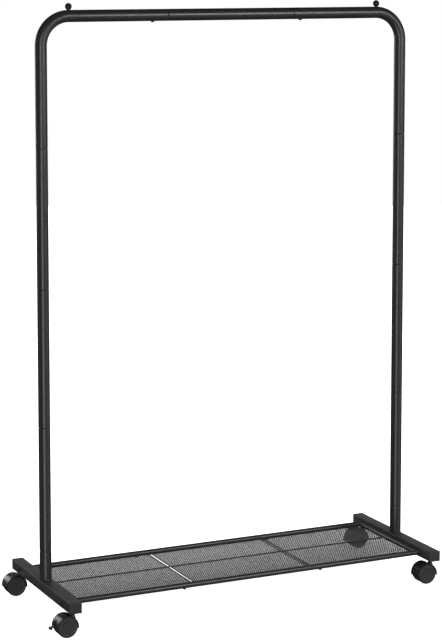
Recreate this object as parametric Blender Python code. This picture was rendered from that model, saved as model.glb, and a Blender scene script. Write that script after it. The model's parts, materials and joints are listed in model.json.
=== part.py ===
"""Rolling clothes rack: two base bars on casters, a jointed tube arch and a three-panel mesh shelf.

Metres, +Z up, +X along the rack's width, +Y towards its back. The origin is on the floor, in
the middle of the whole outline, with all four casters trailing towards -X.
"""

import math

import bmesh
import bpy
from mathutils import Matrix, Vector

GAP = 0.0003  # between pieces that touch

# Arch: round tube from the two base bars up to the hanging rail
POST_SPACING = 1.070
TUBE_RADIUS = 0.0159
TUBE_WALL = 0.0012
SPIGOT_LENGTH = 0.050
RAIL_Z = 1.584
BEND_RADIUS = 0.077
STUB_SEAM_Z = 0.172
LOWER_SEAM_Z = 0.504
UPPER_SEAM_Z = 0.872
CORNER_SEAM_Z = 1.242
RAIL_SEAMS = {"left": -0.181, "right": 0.194}
RAIL_SCREW_X = 0.220
STOP_BALL_RADIUS = 0.009
STOP_BALL_Z = RAIL_Z + 0.0248
STOP_NECK_RADIUS = 0.0043
STOP_SHANK_RADIUS = 0.0029
STOP_SHANK_BOTTOM = RAIL_Z + 0.006

# Base bars: rectangular tube from front to back, with a plastic cap in each end
BAR_WIDTH = 0.032
BAR_HEIGHT = 0.028
BAR_WALL = 0.0015
BAR_BOTTOM = 0.064
BASE_DEPTH = 0.440
CAP_THICKNESS = 0.003
CAP_LIP = 0.0005
CAP_PLUG_LENGTH = 0.012
CAP_PLUG_WALL = 0.002
NUT_RADIUS = 0.007  # welded inside the bar over each caster's stem
NUT_HEIGHT = 0.0095

# Shelf: three frames of round tube and wire, joined end to end, each with a mesh sheet
SHELF_RAIL_Y = 0.162
SHELF_RAIL_Z = BAR_BOTTOM + BAR_HEIGHT / 2
SHELF_TUBE_RADIUS = 0.0075
SHELF_TUBE_WALL = 0.001
SHELF_SPIGOT_LENGTH = 0.045
END_TUBE_RADIUS = 0.0072
END_TUBE_SETBACK = 0.0005  # from the rails' ends
SHELF_SEAMS = {"left": -0.1662, "right": 0.1800}
JOINT_SCREW_X = 0.204
WIRE_RADIUS = 0.002
WIRE_BELOW_RAIL = 0.0035
END_WIRES = {"left": (-0.1722, -0.1629), "right": (0.1771, 0.1865)}
CENTRE_WIRE_Y = 0.011
CENTRE_WIRE_BELOW_RAIL = 0.0005
CROSS_WIRE_REACH = SHELF_RAIL_Y - 0.0063  # into the rails, but short of the spigots in them
MESH_THICKNESS = 0.0012
MESH_HALF_DEPTH = 0.1545
RIGHT_MESH_START = 0.1900
END_TUBE_PLUG = 0.012  # solid length at each end of the tube along the bar
DRAIN_HOLE_RADIUS = 0.002
SHELF_BOLT_RADIUS = 0.003
SHELF_BOLT_REACH = 0.015
SHELF_PLUG_LENGTH = 0.020

# Casters: twin wheels under a hood that swivels on a stem
CASTER_Y = 0.193
CASTER_TRAIL = 0.019
WHEEL_RADIUS = 0.0275
WHEEL_INNER_Y = 0.0075
WHEEL_OUTER_Y = 0.0215
HOOD_RADIUS = 0.030
HOOD_SKIRT = 0.0052  # how far the hood reaches below the axle
WHEEL_CLEARANCE = 0.0009
WEB_HALF_WIDTH = 0.007
AXLE_BOSS_INSET = 0.0005  # from the web's faces
STEM_RADIUS = 0.004
STEM_COLLAR_RADIUS = 0.0055
STEM_BOTTOM = 0.032
STEM_IN_BAR = 0.020
SOCKET_FLOOR = 0.0035  # of the stem's bore, above the axle
HOOD_BOSS_RADIUS = 0.006
HOOD_BOSS_TOP = 0.059
AXLE_RADIUS = 0.003
AXLE_IN_WHEEL = 0.0105
AXLE_BORE_DEPTH = 0.0110
AXLE_BOSS_RADIUS = 0.008
WHEEL_SHOULDER = 0.0012
DRUM_INNER_RADIUS = 0.0105
DRUM_OUTER_RADIUS = 0.0220
DRUM_DEPTH = 0.0080

# Brake lever, on a pin through the hood's web: x and z are from the axle
LEVER_PIVOT = (-0.0205, 0.0025)
LEVER_SHOE = (-0.0130, 0.0110)
LEVER_ELBOW = (-0.0310, 0.0050)
LEVER_TIP = (-0.0410, -0.0010)
LEVER_PAD_RADIUS = 0.0040
LEVER_PAD_HALF_WIDTH = 0.0060
LEVER_HALF_WIDTH = 0.0040
LEVER_HALF_THICKNESS = 0.0020
LEVER_STEP = 0.0001  # between the sizes of joined arms, so that no two faces coincide
LEVER_PIVOT_OVERLAP = (0.0010, 0.0015)  # of the outer and inner arm, past the pivot
LEVER_ELBOW_RADIUS = 0.0022
LEVER_PIN_RADIUS = 0.0015
LEVER_PIN_HALF_LENGTH = 0.0066
SHOE_RADIUS = 0.0022
SHOE_HALF_LENGTH = 0.0120
LEVER_ROOM = 0.0006
WEB_SLOT = ((-0.0275, -0.0080), (-0.0080, 0.0175))
SHELL_SLOT = ((-0.0330, -0.0080), (-0.0260, 0.0095))
SHOE_SLOT = ((-0.0190, 0.0070), (-0.0085, 0.0165))

# Screws
HOLE_CLEARANCE = 0.0004
CUTTER_OVERRUN = 0.001
BOLT_HEAD_RADIUS = 0.006
BOLT_HEAD_HEIGHT = 0.003
HEAD_CHAMFER = 0.0012
SCREW_HEAD_HEIGHT = 0.0026
RAIL_SCREW_SHANK = 0.0024
RAIL_SCREW_LENGTH = 0.008
RAIL_SCREW_HEAD = 0.0050
JOINT_SCREW_SHANK = 0.0019
JOINT_SCREW_LENGTH = 0.0050
JOINT_SCREW_HEAD = 0.0042

# Flat facets around each kind of round piece
TUBE_FACETS = 16
SHELF_TUBE_FACETS = 12
WHEEL_FACETS = 20
SMALL_FACETS = 12
WIRE_FACETS = 8
NUT_FACETS = 6
BEND_STEPS = 6
BALL_STEPS = 8
HOOD_STEPS = 16

HALF_SPACING = POST_SPACING / 2
BAR_TOP = BAR_BOTTOM + BAR_HEIGHT
INNER_FACE = HALF_SPACING - BAR_WIDTH / 2
OUTER_FACE = HALF_SPACING + BAR_WIDTH / 2
REACH_LEFT = HALF_SPACING + CASTER_TRAIL - LEVER_TIP[0] + LEVER_PAD_RADIUS
REACH_RIGHT = OUTER_FACE + GAP + BOLT_HEAD_HEIGHT
SIDES = {"left": -1, "right": 1}
ENDS = {"front": -1, "rear": 1}
BRAKED = {("left", "front"), ("right", "rear")}

AXES = {"X": (2, 0, 1), "Y": (1, 2, 0), "Z": (0, 1, 2)}


# ---------------------------------------------------------------- shapes

def skin(mesh, first, second):
    """Faces between two rings, either of which may be a single point on the axis."""
    count = max(len(first), len(second))
    for i in range(count):
        j = (i + 1) % count
        corners = [
            first[i % len(first)],
            first[j % len(first)],
            second[j % len(second)],
            second[i % len(second)],
        ]
        mesh.faces.new(dict.fromkeys(corners))


def finished(mesh):
    bmesh.ops.recalc_face_normals(mesh, faces=mesh.faces)
    return mesh


def turned(profile, segments, axis="Z", centre=(0, 0, 0), phase=0.0):
    """A profile of (radius, height) points turned about an axis through centre.

    A profile that starts and ends on the axis makes a solid of revolution, and one that stays
    off it is closed into a ring. Phase turns the facets by that share of one facet.
    """
    mesh = bmesh.new()
    order = AXES[axis]
    rings = []
    for radius, height in profile:
        steps = segments if radius > 0 else 1
        ring = []
        for step in range(steps):
            angle = 2 * math.pi * (step + phase) / segments
            point = (radius * math.cos(angle), radius * math.sin(angle), height)
            ring.append(mesh.verts.new(Vector(point[i] for i in order) + Vector(centre)))
        rings.append(ring)
    for first, second in zip(rings, rings[1:]):
        skin(mesh, first, second)
    if profile[0][0] > 0:
        skin(mesh, rings[-1], rings[0])
    return finished(mesh)


def rod(radius, start, end, segments=SMALL_FACETS, axis="Z", centre=(0, 0, 0)):
    """A plain cylinder, whose corners keep clear of those of the tubes that it meets."""
    profile = [(0, start), (radius, start), (radius, end), (0, end)]
    return turned(profile, segments, axis, centre, phase=0.25)


def box(low, high):
    mesh = bmesh.new()
    bmesh.ops.create_cube(mesh, size=1)
    low, high = Vector(low), Vector(high)
    bmesh.ops.scale(mesh, vec=high - low, verts=mesh.verts)
    bmesh.ops.translate(mesh, vec=(low + high) / 2, verts=mesh.verts)
    return mesh


def prism(outline, half_width):
    """An outline of (x, z) points, extruded to half_width on both sides of Y = 0."""
    mesh = bmesh.new()
    front = [mesh.verts.new((x, -half_width, z)) for x, z in outline]
    back = [mesh.verts.new((x, half_width, z)) for x, z in outline]
    skin(mesh, front, back)
    mesh.faces.new(front)
    mesh.faces.new(back)
    return finished(mesh)


def link(start, end, half_thickness, half_width):
    """A flat bar between two (x, z) points."""
    start, end = Vector(start), Vector(end)
    along = (end - start).normalized() * half_thickness
    across = Vector((-along.y, along.x))
    corners = (start + across, start - across, end - across, end + across)
    return prism([tuple(corner) for corner in corners], half_width)


def bent_tube(path, outer, inner, segments):
    """A hollow tube along (x, z, angle) stations, where angle turns the section about Y."""
    mesh = bmesh.new()
    walls = {outer: [], inner: []}
    for x, z, angle in path:
        turn = Matrix.Rotation(angle, 3, "Y")
        for radius, rings in walls.items():
            ring = []
            for step in range(segments):
                around = 2 * math.pi * step / segments
                point = turn @ Vector((radius * math.cos(around), radius * math.sin(around), 0))
                ring.append(mesh.verts.new(point + Vector((x, 0, z))))
            rings.append(ring)
    for rings in walls.values():
        for first, second in zip(rings, rings[1:]):
            skin(mesh, first, second)
    for end in (0, -1):
        skin(mesh, walls[outer][end], walls[inner][end])
    return finished(mesh)


def plain_object(mesh):
    data = bpy.data.meshes.new("shape")
    mesh.to_mesh(data)
    mesh.free()
    made = bpy.data.objects.new("shape", data)
    bpy.context.scene.collection.objects.link(made)
    return made


def combined(base, steps):
    """One mesh from a base shape and Boolean steps of (operation, shapes), in order."""
    target = plain_object(base)
    helpers = []
    for operation, shapes in steps:
        for shape in shapes:
            helper = plain_object(shape)
            helpers.append(helper)
            modifier = target.modifiers.new(operation.lower(), "BOOLEAN")
            modifier.operation = operation
            modifier.solver = "EXACT"
            modifier.object = helper
    graph = bpy.context.evaluated_depsgraph_get()
    data = bpy.data.meshes.new_from_object(target.evaluated_get(graph))
    for used in [target, *helpers]:
        bpy.data.objects.remove(used)
    return data


def coat(name, colour, roughness, metallic=0.0):
    made = bpy.data.materials.new(name)
    made.use_nodes = True
    shader = made.node_tree.nodes["Principled BSDF"]
    shader.inputs["Base Color"].default_value = (*colour, 1)
    shader.inputs["Roughness"].default_value = roughness
    shader.inputs["Metallic"].default_value = metallic
    return made


def add_part(name, shape, material, parent, location=(0, 0, 0)):
    """A node of the rack from a bmesh or a ready mesh, with round faces shaded smooth."""
    if isinstance(shape, bmesh.types.BMesh):
        data = bpy.data.meshes.new(name)
        shape.to_mesh(data)
        shape.free()
    else:
        data = shape
    data.materials.clear()
    data.materials.append(material)
    data.shade_smooth()
    data.set_sharp_from_angle(angle=math.radians(35))
    part = bpy.data.objects.new(name, data)
    part.parent = parent
    part.location = location
    bpy.context.scene.collection.objects.link(part)
    return part


def add_empty(name, parent, location):
    empty = bpy.data.objects.new(name, None)
    empty.parent = parent
    empty.location = location
    empty.empty_display_size = 0.02
    bpy.context.scene.collection.objects.link(empty)
    return empty


def screw_hole(x, y, shank_radius, tube_radius, facets=SMALL_FACETS):
    """A cutter up into the underside of a tube along X, through its wall and the spigot's."""
    radius = shank_radius + HOLE_CLEARANCE
    return rod(radius, -tube_radius - CUTTER_OVERRUN, -tube_radius / 2, facets, centre=(x, y, 0))


def screw_from_below(seat, shank, length, head):
    """A flat-topped screw whose head is under a tube."""
    profile = [
        (0, seat + length),
        (shank, seat + length),
        (shank, seat),
        (head, seat),
        (head, seat - HEAD_CHAMFER),
        (head - HEAD_CHAMFER, seat - SCREW_HEAD_HEIGHT),
        (0, seat - SCREW_HEAD_HEIGHT),
    ]
    return turned(profile, SMALL_FACETS)


# ---------------------------------------------------------------- arch

def tube_profile(start, end, radius, wall, spigot_length, spigots):
    """Section of a round tube from start to end, with a narrowed spigot past the ends named."""
    inside = radius - wall
    spigot_outside = inside - GAP
    spigot_inside = spigot_outside - wall
    profile = [(radius, start), (radius, end)]
    if "end" in spigots:
        profile.append((spigot_outside, end))
        profile.append((spigot_outside, end + spigot_length))
        profile.append((spigot_inside, end + spigot_length))
        profile.append((spigot_inside, end - wall))
        profile.append((inside, end - wall))
    else:
        profile.append((inside, end))
    if "start" in spigots:
        profile.append((inside, start + wall))
        profile.append((spigot_inside, start + wall))
        profile.append((spigot_inside, start - spigot_length))
        profile.append((spigot_outside, start - spigot_length))
        profile.append((spigot_outside, start))
    else:
        profile.append((inside, start))
    return profile


def add_posts(side, material, rack):
    """The straight tubes of one post, each with a spigot that the next tube slides over."""
    seams = {
        "post_stub": (BAR_TOP, STUB_SEAM_Z),
        "lower_post": (STUB_SEAM_Z, LOWER_SEAM_Z),
        "middle_post": (LOWER_SEAM_Z, UPPER_SEAM_Z),
        "upper_post": (UPPER_SEAM_Z, CORNER_SEAM_Z),
    }
    for name, (low, high) in seams.items():
        length = high - low - GAP
        profile = tube_profile(0, length, TUBE_RADIUS, TUBE_WALL, SPIGOT_LENGTH, {"end"})
        location = (SIDES[side] * HALF_SPACING, 0, low + GAP)
        add_part(f"{side}_{name}", turned(profile, TUBE_FACETS), material, rack, location)


def add_corner_tube(side, material, rack):
    """The bent tube from the top of a post to the hanging rail."""
    sign = SIDES[side]
    path = [(sign * HALF_SPACING, CORNER_SEAM_Z + GAP - RAIL_Z, 0)]
    for step in range(BEND_STEPS + 1):
        angle = math.pi / 2 * step / BEND_STEPS
        x = HALF_SPACING - BEND_RADIUS * (1 - math.cos(angle))
        z = BEND_RADIUS * (math.sin(angle) - 1)
        path.append((sign * x, z, -sign * angle))
    path.append((RAIL_SEAMS[side], 0, -sign * math.pi / 2))
    tube = bent_tube(path, TUBE_RADIUS, TUBE_RADIUS - TUBE_WALL, TUBE_FACETS)
    stop_hole = rod(
        STOP_SHANK_RADIUS + HOLE_CLEARANCE,
        TUBE_RADIUS / 2,
        TUBE_RADIUS + CUTTER_OVERRUN,
        centre=(sign * (HALF_SPACING - BEND_RADIUS), 0, 0),
    )
    screw = screw_hole(sign * RAIL_SCREW_X, 0, RAIL_SCREW_SHANK, TUBE_RADIUS)
    data = combined(tube, [("DIFFERENCE", [stop_hole, screw])])
    add_part(f"{side}_corner_tube", data, material, rack, (0, 0, RAIL_Z))


def add_rail_middle(material, rack):
    start = RAIL_SEAMS["left"] + GAP
    end = RAIL_SEAMS["right"] - GAP
    spigots = {"start", "end"}
    profile = tube_profile(start, end, TUBE_RADIUS, TUBE_WALL, SPIGOT_LENGTH, spigots)
    holes = [
        screw_hole(sign * RAIL_SCREW_X, 0, RAIL_SCREW_SHANK, TUBE_RADIUS)
        for sign in SIDES.values()
    ]
    data = combined(turned(profile, TUBE_FACETS, "X"), [("DIFFERENCE", holes)])
    add_part("rail_middle_tube", data, material, rack, (0, 0, RAIL_Z))


def add_rail_screw(side, material, rack):
    seat = -TUBE_RADIUS - GAP
    screw = screw_from_below(seat, RAIL_SCREW_SHANK, RAIL_SCREW_LENGTH, RAIL_SCREW_HEAD)
    location = (SIDES[side] * RAIL_SCREW_X, 0, RAIL_Z)
    add_part(f"{side}_rail_screw", screw, material, rack, location)


def add_end_stop(side, material, rack):
    """The ball that keeps hangers on the rail, on a short neck and a shank through the tube."""
    seat = RAIL_Z + TUBE_RADIUS + GAP
    profile = [
        (0, STOP_SHANK_BOTTOM),
        (STOP_SHANK_RADIUS, STOP_SHANK_BOTTOM),
        (STOP_SHANK_RADIUS, seat),
        (STOP_NECK_RADIUS, seat),
    ]
    lowest = -math.acos(STOP_NECK_RADIUS / STOP_BALL_RADIUS)
    for step in range(BALL_STEPS):
        angle = lowest + (math.pi / 2 - lowest) * step / BALL_STEPS
        radius = STOP_BALL_RADIUS * math.cos(angle)
        profile.append((radius, STOP_BALL_Z + STOP_BALL_RADIUS * math.sin(angle)))
    profile.append((0, STOP_BALL_Z + STOP_BALL_RADIUS))
    location = (SIDES[side] * (HALF_SPACING - BEND_RADIUS), 0, 0)
    add_part(f"{side}_end_stop", turned(profile, SMALL_FACETS), material, rack, location)


# ---------------------------------------------------------------- base

def add_base_bar(side, material, rack):
    """The bar with its bolt holes, and a welded nut inside over each caster stem's hole."""
    half_length = BASE_DEPTH / 2 - CAP_THICKNESS - GAP
    half_width = BAR_WIDTH / 2
    half_height = BAR_HEIGHT / 2
    outside = box((-half_width, -half_length, -half_height), (half_width, half_length, half_height))
    inner_width = half_width - BAR_WALL
    inner_height = half_height - BAR_WALL
    hollow = box((-inner_width, -1, -inner_height), (inner_width, 1, inner_height))
    nuts = []
    holes = []
    for sign in ENDS.values():
        stem = (0, sign * CASTER_Y, -half_height)
        stem_hole = STEM_RADIUS + HOLE_CLEARANCE
        nuts.append(rod(NUT_RADIUS, BAR_WALL / 2, NUT_HEIGHT, NUT_FACETS, centre=stem))
        holes.append(rod(stem_hole, -CUTTER_OVERRUN, NUT_HEIGHT + CUTTER_OVERRUN, centre=stem))
        bolt = (0, sign * SHELF_RAIL_Y, 0)
        bolt_hole = SHELF_BOLT_RADIUS + HOLE_CLEARANCE
        reach = half_width + CUTTER_OVERRUN
        holes.append(rod(bolt_hole, -reach, reach, axis="X", centre=bolt))
    steps = [("DIFFERENCE", [hollow]), ("UNION", nuts), ("DIFFERENCE", holes)]
    data = combined(outside, steps)
    location = (SIDES[side] * HALF_SPACING, 0, BAR_BOTTOM + half_height)
    add_part(f"{side}_base_bar", data, material, rack, location)


def add_end_cap(side, end, material, rack):
    """A flat cap with a hollow plug that fits inside the bar."""
    half_width = BAR_WIDTH / 2 + CAP_LIP
    half_height = BAR_HEIGHT / 2 + CAP_LIP
    plug_width = BAR_WIDTH / 2 - BAR_WALL - GAP
    plug_height = BAR_HEIGHT / 2 - BAR_WALL - GAP
    sign = ENDS[end]
    face = sign * BASE_DEPTH / 2
    flange_back = face - sign * CAP_THICKNESS
    plug_back = flange_back - sign * CAP_PLUG_LENGTH
    hollow_width = plug_width - CAP_PLUG_WALL
    hollow_height = plug_height - CAP_PLUG_WALL
    mesh = bmesh.new()
    sections = [
        (half_width, half_height, face),
        (half_width, half_height, flange_back),
        (plug_width, plug_height, flange_back),
        (plug_width, plug_height, plug_back),
        (hollow_width, hollow_height, plug_back),
        (hollow_width, hollow_height, flange_back),
    ]
    rings = []
    for width, height, y in sections:
        corners = ((-width, -height), (width, -height), (width, height), (-width, height))
        rings.append([mesh.verts.new((x, y, z)) for x, z in corners])
    for first, second in zip(rings, rings[1:]):
        skin(mesh, first, second)
    mesh.faces.new(rings[0])
    mesh.faces.new(rings[-1])
    location = (SIDES[side] * HALF_SPACING, 0, BAR_BOTTOM + BAR_HEIGHT / 2)
    add_part(f"{side}_{end}_end_cap", finished(mesh), material, rack, location)


# ---------------------------------------------------------------- shelf

def shelf_rails(profile):
    """The front and rear rails of one shelf frame."""
    return [
        turned(profile, SHELF_TUBE_FACETS, "X", (0, sign * SHELF_RAIL_Y, 0))
        for sign in ENDS.values()
    ]


def cross_wire(x):
    centre = (x, 0, -WIRE_BELOW_RAIL)
    return rod(WIRE_RADIUS, -CROSS_WIRE_REACH, CROSS_WIRE_REACH, WIRE_FACETS, "Y", centre)


def centre_wire(start, end):
    centre = (0, CENTRE_WIRE_Y, -CENTRE_WIRE_BELOW_RAIL)
    return rod(WIRE_RADIUS, start, end, WIRE_FACETS, "X", centre)


def joint_screw_holes(x_places):
    return [
        screw_hole(x, sign * SHELF_RAIL_Y, JOINT_SCREW_SHANK, SHELF_TUBE_RADIUS, WIRE_FACETS)
        for x in x_places
        for sign in ENDS.values()
    ]


def bolt_bores(sign, bar_end):
    """Blind holes in the ends of the rails for the bolts through the base bar."""
    opening = bar_end + sign * CUTTER_OVERRUN
    floor = bar_end - sign * (SHELF_BOLT_REACH + CUTTER_OVERRUN)
    radius = SHELF_BOLT_RADIUS + HOLE_CLEARANCE
    start, end = sorted((opening, floor))
    return [
        rod(radius, start, end, axis="X", centre=(0, end_sign * SHELF_RAIL_Y, 0))
        for end_sign in ENDS.values()
    ]


def add_outer_shelf_frame(side, material, rack):
    """Two rails from the base bar to the seam, a tube along the bar, and the wires."""
    sign = SIDES[side]
    bar_end = sign * (INNER_FACE - GAP)
    seam = SHELF_SEAMS[side]
    plug_end = bar_end - sign * SHELF_PLUG_LENGTH
    inside = SHELF_TUBE_RADIUS - SHELF_TUBE_WALL
    front, rear = shelf_rails([
        (0, bar_end),
        (SHELF_TUBE_RADIUS, bar_end),
        (SHELF_TUBE_RADIUS, seam),
        (inside, seam),
        (inside, plug_end),
        (0, plug_end),
    ])
    end_x = bar_end - sign * (END_TUBE_RADIUS + END_TUBE_SETBACK)
    along_bar = (SHELF_TUBE_FACETS, "Y", (end_x, 0, 0))
    bore_reach = SHELF_RAIL_Y - END_TUBE_PLUG
    end_tube = rod(END_TUBE_RADIUS, -SHELF_RAIL_Y, SHELF_RAIL_Y, *along_bar)
    end_bore = rod(END_TUBE_RADIUS - SHELF_TUBE_WALL, -bore_reach, bore_reach, *along_bar)
    drain_hole = rod(DRAIN_HOLE_RADIUS, -2 * END_TUBE_RADIUS, 0, WIRE_FACETS, centre=(end_x, 0, 0))
    outer_wire = END_WIRES[side][0 if side == "left" else 1]
    wires = [cross_wire(outer_wire), centre_wire(*sorted((outer_wire, end_x)))]
    cutters = [
        drain_hole,
        *bolt_bores(sign, bar_end),
        *joint_screw_holes([sign * JOINT_SCREW_X]),
    ]
    steps = [
        ("UNION", [rear, end_tube]),
        ("DIFFERENCE", [end_bore]),
        ("UNION", wires),
        ("DIFFERENCE", cutters),
    ]
    data = combined(front, steps)
    add_part(f"{side}_shelf_frame", data, material, rack, (0, 0, SHELF_RAIL_Z))


def add_middle_shelf_frame(material, rack):
    """Two rails with a spigot at each end, which the outer frames' rails slide over."""
    start = SHELF_SEAMS["left"] + GAP
    end = SHELF_SEAMS["right"] - GAP
    size = (SHELF_TUBE_RADIUS, SHELF_TUBE_WALL, SHELF_SPIGOT_LENGTH)
    profile = tube_profile(start, end, *size, {"start", "end"})
    front, rear = shelf_rails(profile)
    wire_places = (END_WIRES["left"][1], END_WIRES["right"][0])
    wires = [cross_wire(x) for x in wire_places]
    steps = [
        ("UNION", [*wires, rear, centre_wire(*wire_places)]),
        ("DIFFERENCE", joint_screw_holes((-JOINT_SCREW_X, JOINT_SCREW_X))),
    ]
    data = combined(front, steps)
    add_part("middle_shelf_frame", data, material, rack, (0, 0, SHELF_RAIL_Z))


def add_shelf_meshes(material, rack):
    """Each frame's sheet of mesh, as a plain slab level with the cross wires.

    The right frame has a second, narrow sheet, between its first wire and the seam.
    """
    edge = WIRE_RADIUS + GAP
    bar_edge = INNER_FACE - 2 * (END_TUBE_RADIUS + END_TUBE_SETBACK)
    left_wires = END_WIRES["left"]
    right_wires = END_WIRES["right"]
    spans = {
        "left_shelf_mesh": (-bar_edge, left_wires[0] - edge),
        "middle_shelf_mesh": (left_wires[1] + edge, right_wires[0] - edge),
        "right_shelf_mesh_lip": (SHELF_SEAMS["right"] + GAP, right_wires[1] - edge),
        "right_shelf_mesh": (RIGHT_MESH_START, bar_edge),
    }
    half = MESH_THICKNESS / 2
    for name, (start, end) in spans.items():
        slab = box((start, -MESH_HALF_DEPTH, -half), (end, MESH_HALF_DEPTH, half))
        location = (0, 0, SHELF_RAIL_Z - WIRE_BELOW_RAIL)
        add_part(name, slab, material, rack, location)


def add_shelf_bolt(side, end, material, rack):
    """The bolt through the base bar into the end of a shelf rail."""
    sign = SIDES[side]
    seat = sign * (OUTER_FACE + GAP)
    tip = sign * (INNER_FACE - GAP - SHELF_BOLT_REACH)
    profile = [
        (0, tip),
        (SHELF_BOLT_RADIUS, tip),
        (SHELF_BOLT_RADIUS, seat),
        (BOLT_HEAD_RADIUS, seat),
        (BOLT_HEAD_RADIUS, seat + sign * HEAD_CHAMFER),
        (BOLT_HEAD_RADIUS - HEAD_CHAMFER, seat + sign * BOLT_HEAD_HEIGHT),
        (0, seat + sign * BOLT_HEAD_HEIGHT),
    ]
    bolt = turned(profile, SMALL_FACETS, "X")
    location = (0, ENDS[end] * SHELF_RAIL_Y, SHELF_RAIL_Z)
    add_part(f"{side}_{end}_shelf_bolt", bolt, material, rack, location)


def add_joint_screw(side, end, material, rack):
    """The screw from below through an outer rail and the spigot inside it."""
    seat = -SHELF_TUBE_RADIUS - GAP
    screw = screw_from_below(seat, JOINT_SCREW_SHANK, JOINT_SCREW_LENGTH, JOINT_SCREW_HEAD)
    location = (SIDES[side] * JOINT_SCREW_X, ENDS[end] * SHELF_RAIL_Y, SHELF_RAIL_Z)
    add_part(f"{side}_{end}_joint_screw", screw, material, rack, location)


# ---------------------------------------------------------------- casters

def hood_outline():
    """(x, z) points round the hood about the axle, from skirt to skirt."""
    skirt = math.asin(HOOD_SKIRT / HOOD_RADIUS)
    outline = []
    for step in range(HOOD_STEPS + 1):
        angle = -skirt + (math.pi + 2 * skirt) * step / HOOD_STEPS
        outline.append((HOOD_RADIUS * math.cos(angle), HOOD_RADIUS * math.sin(angle)))
    return outline


def wheel_cavity(sign):
    open_side = WHEEL_OUTER_Y + CUTTER_OVERRUN
    start, end = sorted((sign * WEB_HALF_WIDTH, sign * open_side))
    return rod(WHEEL_RADIUS + WHEEL_CLEARANCE, start, end, WHEEL_FACETS, "Y")


def lever_cutters():
    """Slots for the lever through the web and the shell, room for its shoe, and its pin's hole."""
    slot = LEVER_HALF_WIDTH + LEVER_ROOM
    beyond_web = WEB_HALF_WIDTH + CUTTER_OVERRUN
    cutters = []
    for ((left, bottom), (right, top)), half_width in (
        (WEB_SLOT, slot),
        (SHELL_SLOT, slot),
        (SHOE_SLOT, beyond_web),
    ):
        cutters.append(box((left, -half_width, bottom), (right, half_width, top)))
    pivot = (LEVER_PIVOT[0], 0, LEVER_PIVOT[1])
    pin_hole = LEVER_PIN_RADIUS + GAP
    cutters.append(rod(pin_hole, -beyond_web, beyond_web, axis="Y", centre=pivot))
    return cutters


def hood_mesh(braked):
    """The hood about the axle: a shell over both wheels and a web between them."""
    boss_top = HOOD_BOSS_TOP - WHEEL_RADIUS
    stem_place = (CASTER_TRAIL, 0, 0)
    boss_reach = WEB_HALF_WIDTH - AXLE_BOSS_INSET
    beyond_web = WEB_HALF_WIDTH + CUTTER_OVERRUN
    bosses = [
        rod(HOOD_BOSS_RADIUS, STEM_RADIUS, boss_top, centre=stem_place),
        rod(AXLE_BOSS_RADIUS, -boss_reach, boss_reach, axis="Y"),
    ]
    stem_bore_top = boss_top + CUTTER_OVERRUN
    bores = [
        rod(STEM_RADIUS + HOLE_CLEARANCE, SOCKET_FLOOR, stem_bore_top, centre=stem_place),
        rod(AXLE_RADIUS + GAP, -beyond_web, beyond_web, axis="Y"),
    ]
    if braked:
        bores += lever_cutters()
    steps = [
        ("DIFFERENCE", [wheel_cavity(sign) for sign in ENDS.values()]),
        ("UNION", bosses),
        ("DIFFERENCE", bores),
    ]
    data = combined(prism(hood_outline(), WHEEL_OUTER_Y), steps)
    data.transform(Matrix.Translation((-CASTER_TRAIL, 0, WHEEL_RADIUS)))
    return data


def wheel_mesh(sign):
    """A wheel with a blind axle bore and a ring-shaped brake drum in its inner face."""
    bore = AXLE_RADIUS + GAP
    inner = WHEEL_INNER_Y
    profile = [
        (0, inner + AXLE_BORE_DEPTH),
        (bore, inner + AXLE_BORE_DEPTH),
        (bore, inner),
        (DRUM_INNER_RADIUS, inner),
        (DRUM_INNER_RADIUS, inner + DRUM_DEPTH),
        (DRUM_OUTER_RADIUS, inner + DRUM_DEPTH),
        (DRUM_OUTER_RADIUS, inner),
        (WHEEL_RADIUS - WHEEL_SHOULDER, inner),
        (WHEEL_RADIUS, inner + WHEEL_SHOULDER),
        (WHEEL_RADIUS, WHEEL_OUTER_Y - WHEEL_SHOULDER),
        (WHEEL_RADIUS - WHEEL_SHOULDER, WHEEL_OUTER_Y),
        (0, WHEEL_OUTER_Y),
    ]
    return turned([(radius, sign * y) for radius, y in profile], WHEEL_FACETS, "Y")


def stem_mesh():
    """The stem, from inside the hood's socket up through the bar, with a collar under the bar."""
    collar_bottom = HOOD_BOSS_TOP + 2 * GAP
    collar_top = BAR_BOTTOM - GAP
    top = BAR_BOTTOM + STEM_IN_BAR
    profile = [
        (0, STEM_BOTTOM),
        (STEM_RADIUS, STEM_BOTTOM),
        (STEM_RADIUS, collar_bottom),
        (STEM_COLLAR_RADIUS, collar_bottom),
        (STEM_COLLAR_RADIUS, collar_top),
        (STEM_RADIUS, collar_top),
        (STEM_RADIUS, top),
        (0, top),
    ]
    return turned(profile, SMALL_FACETS)


def lever_mesh():
    """The brake lever about its pivot: a pedal outside the hood, and a shoe bar in the drums."""
    def from_pivot(point):
        return point[0] - LEVER_PIVOT[0], point[1] - LEVER_PIVOT[1]

    def crossbar(point, radius, half_length):
        return rod(radius, -half_length, half_length, axis="Y", centre=(point[0], 0, point[1]))

    shoe = from_pivot(LEVER_SHOE)
    elbow = from_pivot(LEVER_ELBOW)
    tip = from_pivot(LEVER_TIP)
    thin = LEVER_HALF_THICKNESS
    wide = LEVER_HALF_WIDTH
    past_outward, past_down = LEVER_PIVOT_OVERLAP
    inner_arm = link((0, -past_down), shoe, thin, wide)
    joined = [
        link((past_outward, 0), elbow, thin + LEVER_STEP, wide - LEVER_STEP),
        crossbar(elbow, LEVER_ELBOW_RADIUS, wide - 3 * LEVER_STEP),
        link(elbow, tip, thin - LEVER_STEP, wide - 2 * LEVER_STEP),
        crossbar(tip, LEVER_PAD_RADIUS, LEVER_PAD_HALF_WIDTH),
        crossbar(shoe, SHOE_RADIUS, SHOE_HALF_LENGTH),
        crossbar((0, 0), LEVER_PIN_RADIUS, LEVER_PIN_HALF_LENGTH),
    ]
    return combined(inner_arm, [("UNION", joined)])


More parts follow.
